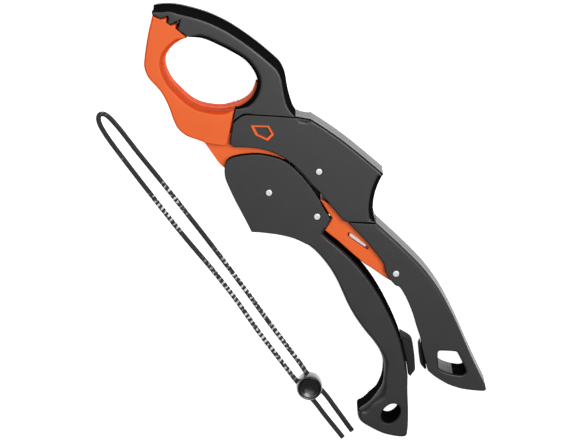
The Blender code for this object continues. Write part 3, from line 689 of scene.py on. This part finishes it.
away = Vector(HANDLE_AXIS).normalized()
aside = Vector((-away.y, away.x))
reach = math.hypot(*HANDLE_AXIS)
for front in (True, False):
    turned_z = side_of(front)
    bar = [aside * 5.4 - away * 6.0, aside * 5.4 + away * reach, -aside * 5.4 + away * reach,
           -aside * 5.4 - away * 6.0]
    root = [aside * 5.4 - away * 6.0, aside * 5.4 + away * 5.6, -aside * 5.4 + away * 5.6,
            -aside * 5.4 - away * 6.0]
    lug = worked(slab(bar, *turned_z(LUG_LOW, LUG_HIGH)),
                 ("UNION", drum(HANDLE_AXIS, 5.5, *turned_z(LUG_LOW, LUG_HIGH))),
                 ("UNION", slab(root, *turned_z(LUG_HIGH - 0.5, THICK - 1))),
                 ("DIFFERENCE", drum(JAW_AXIS, 4.9, *turned_z(LUG_LOW - 1, THICK))))
    jobs = [("DIFFERENCE", slab(smooth_loop(COVER_CAVITY), *turned_z(MID - 1, THICK - PLATE))),
            ("UNION", lug)]
    jobs += [("UNION", drum(place, 3.3, *turned_z(MID + HALF_GAP, THICK - 1))) for place in CASE_SCREWS[1:3]]
    jobs += [("UNION", drum(CASE_SCREWS[0], 3.0, *turned_z(THICK - 3.7, THICK - 1)))]
    jobs += [("DIFFERENCE", drum(JAW_AXIS, BORE_R, -1, THICK + 1)),
             ("DIFFERENCE", drum(HANDLE_AXIS, BORE_R, -1, THICK + 1))]
    jobs += [("DIFFERENCE", screw_hole(place)) for place in CASE_SCREWS[:3]]
    if front:
        jobs.append(("DIFFERENCE", slab(smooth_loop(BADGE), THICK - 2.9, THICK + 1)))
    cover = worked(half_slab(smooth_loop(COVER), front, MID + HALF_GAP, cover_rim, wall=COVER_STEP), *jobs)
    name = "front_cover" if front else "back_cover"
    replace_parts(show(name + "_shell", cover, shell, "frame", dark=shade_black,
                     dark_where=shaded), name)

corners = [Vector(p[:2]) for p in BADGE]
middle = sum(corners, Vector((0, 0))) / len(corners)
insert = worked(slab([middle + (p - middle) * 0.93 for p in corners], THICK - 2.6, THICK - 0.9, (0.25, 0.25)),
                ("DIFFERENCE", slab([middle + (p - middle) * 0.70 for p in corners], 0, THICK + 1)))
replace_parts(show("window_frame_insert", insert, orange, "frame"), "window_insert")

# Fixed handle. Two black half shells with a pocket for the latch, a four-cornered lanyard hole and a
# heavier round along the palm side. A rubber stop pad sits on the inner edge.
FIXED_HANDLE = [(-5.3, -28.5, 1), (4.6, -37.8, 1), (5.3, -44.0), (6.5, -54.0), (7.5, -66.0), (7.5, -75.0),
                (6.5, -85.0), (4.2, -96.0), (1.2, -107.0), (-1.8, -117.0), (-4.8, -128.0), (-6.4, -134.6),
                (-7.4, -137.3), (-8.8, -137.4), (-12.2, -134.3), (-16.7, -129.2), (-20.4, -123.0),
                (-22.7, -116.0), (-23.4, -111.6, 1), (-22.8, -110.2, 1), (-20.5, -105.0, 1),
                (-18.0, -100.0, 1), (-15.6, -96.3, 1), (-13.1, -90.0), (-10.5, -84.0), (-8.2, -77.0),
                (-7.0, -71.0), (-7.1, -69.2), (-7.9, -67.9), (-8.1, -65.0), (-7.7, -61.0), (-6.8, -58.2),
                (-5.3, -55.8), (-4.9, -52.0), (-4.7, -45.0), (-4.8, -38.0), (-5.2, -32.0)]
LATCH_POCKET = [(-20.0, -25.0, 1), (3.4, -25.0, 1), (4.0, -40.0, 1), (4.2, -58.0, 1), (3.0, -65.0, 1),
                (-0.5, -68.4, 1), (-6.0, -68.6, 1), (-12.0, -66.6, 1), (-20.0, -66.0, 1)]
FIXED_HOLE = [(-13.9, -107.7), (-12.5, -107.5), (-6.9, -112.6), (-6.5, -114.0), (-9.2, -123.6),
              (-12.2, -123.9), (-16.4, -119.0), (-18.4, -114.7), (-17.9, -113.0)]
FIXED_PAD = [(-18.4, -100.1, 1), (-20.2, -100.8), (-21.4, -102.4), (-24.4, -107.0), (-24.7, -110.7, 1),
             (-23.8, -111.2, 1), (-23.1, -109.9, 1), (-20.9, -105.1, 1)]
LATCH_AXIS = (-4.0, -63.4)


def palm_rim(point):
    if point.y < -28.0 and point.x > 4.6 - max(0.0, -96.0 - point.y) * 0.30:
        return 1.2, 0.8
    return 0.5, 0.7


def palm_shade(centre, normal):
    """Painted shade on the groove, the inner wall and the lower walls of the lanyard hole."""
    return in_groove(centre, normal) or (abs(normal.z) < UPRIGHT and (normal.x < 0.0 or normal.y > 0.6))


for front in (True, False):
    turned_z = side_of(front)
    jobs = [("DIFFERENCE", slab(smooth_loop(FIXED_HOLE), -0.02, THICK + 0.02, (-1.0, 1.0), (-1.0, 1.0))),
            ("DIFFERENCE", slab(smooth_loop(LATCH_POCKET), *turned_z(MID - 1, THICK - PLATE))),
            ("DIFFERENCE", drum(LATCH_AXIS, BORE_R, -1, THICK + 1))]
    jobs += [("DIFFERENCE", screw_hole(place)) for place in CASE_SCREWS[3:]]
    half = worked(half_slab(smooth_loop(FIXED_HANDLE), front, MID + HALF_GAP, palm_rim,
                            wall=EDGE_GROOVE), *jobs)
    name = "fixed_handle_front" if front else "fixed_handle_back"
    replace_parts(show(name + "_shell", half, shell, "frame", dark=shade_black,
                     dark_where=palm_shade), name)

rubber, rubber_shader, spot = new_finish("soft_pad", Roughness=0.75, Specular_IOR_Level=0.3)
bloom = spot.noise(400.0)
feed(rubber_shader, "Base Color", bloom.tint((0.009, 0.009, 0.0095, 1), (0.015, 0.015, 0.0155, 1)))
emboss(rubber_shader, spot.noise(1800.0), 0.25, 0.0001)
pad = slab(smooth_loop(FIXED_PAD), 3.5, 17.5, (1.0, 1.0), (0.6, 0.6), 3)
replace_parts(show("fixed_pad", pad, rubber, "frame"), "fixed_stop_pad")

# Moving handle. Two black half shells whose head plates straddle the cover lugs; the grip swells into
# a thumb end with a soft ridge. A steel core with gear teeth is riveted inside.
MOVING_HANDLE = [(-33.7, 31.0, 1), (-35.7, 28.6), (-37.2, 26.0), (-38.8, 21.0), (-40.3, 15.5), (-41.8, 9.0),
                 (-43.2, 3.0), (-44.5, -2.0, 1), (-40.2, -6.2), (-35.2, -11.7), (-31.2, -17.2),
                 (-28.7, -22.2), (-27.2, -27.2), (-26.7, -33.2), (-27.0, -40.0), (-28.2, -47.0),
                 (-30.2, -54.0), (-32.2, -61.0), (-33.5, -68.0), (-34.2, -76.0), (-34.4, -83.0),
                 (-35.3, -89.0), (-38.2, -95.0), (-43.8, -101.4), (-50.0, -104.3), (-56.8, -105.4),
                 (-62.4, -105.2), (-64.9, -107.6), (-65.4, -111.0), (-64.2, -115.2), (-61.2, -122.2),
                 (-57.2, -127.7), (-54.2, -130.5), (-52.3, -130.5), (-48.0, -126.2), (-43.0, -120.2),
                 (-38.0, -113.7), (-33.0, -107.7, 1), (-31.0, -104.5, 1), (-27.5, -98.0), (-24.2, -91.5),
                 (-21.3, -83.5), (-19.0, -75.0), (-17.2, -66.5), (-16.2, -59.0), (-15.8, -51.0),
                 (-16.0, -43.0), (-16.8, -36.0), (-18.0, -29.0), (-18.4, -25.0, 1), (-16.0, -24.0),
                 (-13.2, -22.9), (-10.8, -21.8, 1), (-10.2, -18.0), (-9.6, -14.0), (-8.7, -11.0),
                 (-8.1, -6.0), (-7.7, -1.0), (-7.7, 4.0), (-8.1, 9.0), (-8.9, 13.4), (-10.6, 17.4),
                 (-13.2, 21.3), (-17.1, 25.7), (-22.1, 29.5), (-27.0, 32.2), (-30.4, 32.8)]
HEAD_CLEAR = [(-60.0, 60.0, 1), (0.0, 60.0, 1), (0.0, -26.0, 1), (-17.6, -26.0, 1), (-20.5, -21.0, 1),
              (-27.0, -14.0, 1), (-34.0, -7.4, 1), (-60.0, -7.4, 1)]
MOVING_PAD = [(-23.1, -89.9, 1), (-22.3, -91.8), (-21.2, -95.4), (-21.5, -97.6), (-24.0, -102.0),
              (-28.0, -107.5), (-29.0, -108.3), (-32.4, -109.1, 1), (-32.6, -107.4, 1),
              (-30.6, -104.4, 1), (-27.1, -97.9, 1), (-23.8, -91.4, 1)]
RIVET = (-15.1, -16.6)
GRIP_SCREWS = [(-22.4, -44.0), (-27.6, -84.0), (-46.0, -108.0)]
THUMB_RIDGE = [((-28.0, -47.0), 1.3), ((-34.4, -83.0), 1.6), ((-38.2, -95.0), 3.2), ((-50.0, -104.3), 5.4),
               ((-60.0, -105.4), 4.4), ((-64.9, -107.6), 1.6), ((-65.4, -111.0), 1.3)]


STRAP_HOLE_POS = Vector((-51.4, -116.8))
STRAP_HALF_LONG, STRAP_HALF_SHORT, STRAP_TURN = 5.4, 4.0, 12.0
swing = Matrix.Rotation(math.radians(STRAP_TURN), 2)
strap_hole = [STRAP_HOLE_POS + swing @ Vector((p.x * STRAP_HALF_LONG, p.y * STRAP_HALF_SHORT))
              for p in disc_loop((0, 0), 1.0)]


def grip_rim(point):
    if point.y > -24.0:
        return 0.55, 0.75
    inset, nearest = 1.3, 9.0
    for place, size in THUMB_RIDGE:
        gap = (point - Vector(place)).length
        if gap < nearest:
            nearest = gap
            inset = size + (1.3 - size) * gap / 9.0
    return inset, inset * 1.3


# Painted shade on the moving handle's walls that face the fixed handle and on its upward-facing walls, such as
# the top of the thumb end.
def inner_side(centre, normal):
    return abs(normal.z) < UPRIGHT and (normal.x > 0.0 or normal.y > 0.3)


for front in (True, False):
    turned_z = side_of(front)
    pocket = [Vector(p) for p in ((-28.4, 2), (-28.4, -20), (-24.9, -35), (-19.8, -35), (-19.6, -24),
                                  (-16, -20))]
    jobs = [("DIFFERENCE", slab(smooth_loop(HEAD_CLEAR), *turned_z(MID - 1, THICK - PLATE))),
            ("DIFFERENCE", slab(pocket, *turned_z(MID - 1, CORE_HIGH + 0.3))),
            ("DIFFERENCE", drum(HANDLE_AXIS, BORE_R, -1, THICK + 1)),
            ("DIFFERENCE", drum(RIVET, BORE_R, -1, THICK + 1)),
            ("DIFFERENCE", slab(strap_hole, -0.12, THICK + 0.12, (-1.1, 1.2), (-1.1, 1.2)))]
    jobs += [("DIFFERENCE", screw_hole(place)) for place in GRIP_SCREWS]
    half = worked(half_slab(smooth_loop(MOVING_HANDLE), front, MID + HALF_GAP, grip_rim, 8), *jobs)
    bmesh.ops.translate(half, vec=(0, 0, -0.0001 if front else 0.0002), verts=half.verts)
    name = "moving_handle_front" if front else "moving_handle_back"
    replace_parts(show(name + "_shell", half, shell, "moving_handle", dark=shade_black,
                     dark_where=inner_side), name)

pad = slab(smooth_loop(MOVING_PAD), 3.5, 17.5, (1.0, 1.0), (0.6, 0.6), 3)
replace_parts(show("moving_pad", pad, rubber, "moving_handle"), "moving_stop_pad")

steel, steel_shader, spot = new_finish("brushed_steel", Metallic=1.0)
brush = spot.node("ShaderNodeMapping", {}, {"Vector": spot, "Scale": (400.0, 6000.0, 400.0)}).noise(1.0)
feed(steel_shader, "Base Color", brush.tint((0.30, 0.30, 0.31, 1), (0.44, 0.44, 0.45, 1)))
feed(steel_shader, "Roughness", brush * 0.2 + 0.28)

bright, bright_shader, spot = new_finish("bright_steel", Metallic=0.45, Roughness=0.5)
turning = spot.noise(3000.0, 2.0)
feed(bright_shader, "Base Color", turning.tint((0.60, 0.60, 0.61, 1), (0.72, 0.72, 0.73, 1)))
emboss(bright_shader, turning, 0.15, 0.00005)

# Latch. A flat orange lever on its own pin, with a narrow spring slot and a heel that hooks under the
# handle head.
LATCH = [(-9.1, -12.0, 1), (-8.2, -12.6), (-7.4, -15.0), (-6.0, -20.0), (-4.6, -30.0), (-2.4, -38.0),
         (-1.0, -46.0), (-0.4, -55.0), (0.2, -62.0), (-0.4, -66.0), (-4.0, -67.8), (-7.6, -66.4),
         (-8.9, -65.2, 1), (-10.2, -61.0), (-11.7, -55.0), (-13.2, -50.0), (-14.2, -44.0), (-14.9, -39.0),
         (-15.7, -33.0), (-16.9, -27.0), (-17.2, -25.2, 1), (-16.0, -24.6), (-13.0, -23.6),
         (-10.7, -22.7, 1), (-10.4, -21.5), (-10.1, -18.0)]
LATCH_SLOT = [(-10.0, -33.6), (-9.0, -33.2), (-8.3, -34.0), (-6.1, -44.4), (-6.5, -45.6), (-7.6, -45.6),
              (-10.4, -34.6)]
lever = worked(slab(smooth_loop(LATCH), 4.0, THICK - 4.0, (0.7, 0.8), (0.7, 0.8), 5),
               ("DIFFERENCE", drum(LATCH_AXIS, BORE_R, 0, THICK)),
               ("DIFFERENCE", slab(smooth_loop(LATCH_SLOT), 0, THICK)))
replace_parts(show("latch_lever", lever, orange, "lock_latch"), "latch")

centre = sum((Vector(p[:2]) for p in LATCH_SLOT), Vector((0, 0))) / len(LATCH_SLOT)
leaf = slab([centre + (p - centre) * 0.8 for p in smooth_loop(LATCH_SLOT)], 5.0, 15.6,
            (0.2, 0.2), (0.2, 0.2), 2)
show("latch_slot_leaf", leaf, bright, "lock_latch")

# Pins. Four turned pins with low domed heads and a small centre mark, each in a bore with a little room
# round it.
PIN_PROFILE = [(0, 0.3), (1.3, 0.3), (1.5, 0.5), (1.5, 20.4), (1.62, 20.6), (1.58, 20.95), (1.35, 21.1),
               (0.9, 21.13), (0.42, 21.1), (0.3, 20.98), (0, 20.96)]
for node, name, place, body in (("jaw_pin", "jaw_pivot_pin", JAW_AXIS, "frame"),
                                ("handle_pin", "handle_pivot_pin", HANDLE_AXIS, "frame"),
                                ("latch_pin", "latch_pivot_pin", LATCH_AXIS, "frame"),
                                ("core_rivet", "handle_rivet", RIVET, "moving_handle")):
    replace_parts(turned(name, PIN_PROFILE, place, bright, body, 40), node)

# Screws, springs, bush and geared core. These stay as the frame has them, steel all but the bush, which
# is turned brass.
brass, brass_shader, spot = new_finish("turned_brass", Metallic=1.0, Roughness=0.3)
feed(brass_shader, "Base Color", spot.noise(1500.0).tint((0.60, 0.42, 0.15, 1), (0.74, 0.54, 0.22, 1)))
shown = {"jaw_bush": brass}
shown.update((node, steel) for node in ("handle_core", "opening_spring", "latch_spring", "cord_lock_spring"))
shown.update((f"case_screw_{k}", steel) for k in range(1, len(CASE_SCREWS) + 1))
shown.update((f"grip_screw_{k}", steel) for k in range(1, len(GRIP_SCREWS) + 1))
for node, finish in shown.items():
    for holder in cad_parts[node].material_slots:
        holder.material = finish
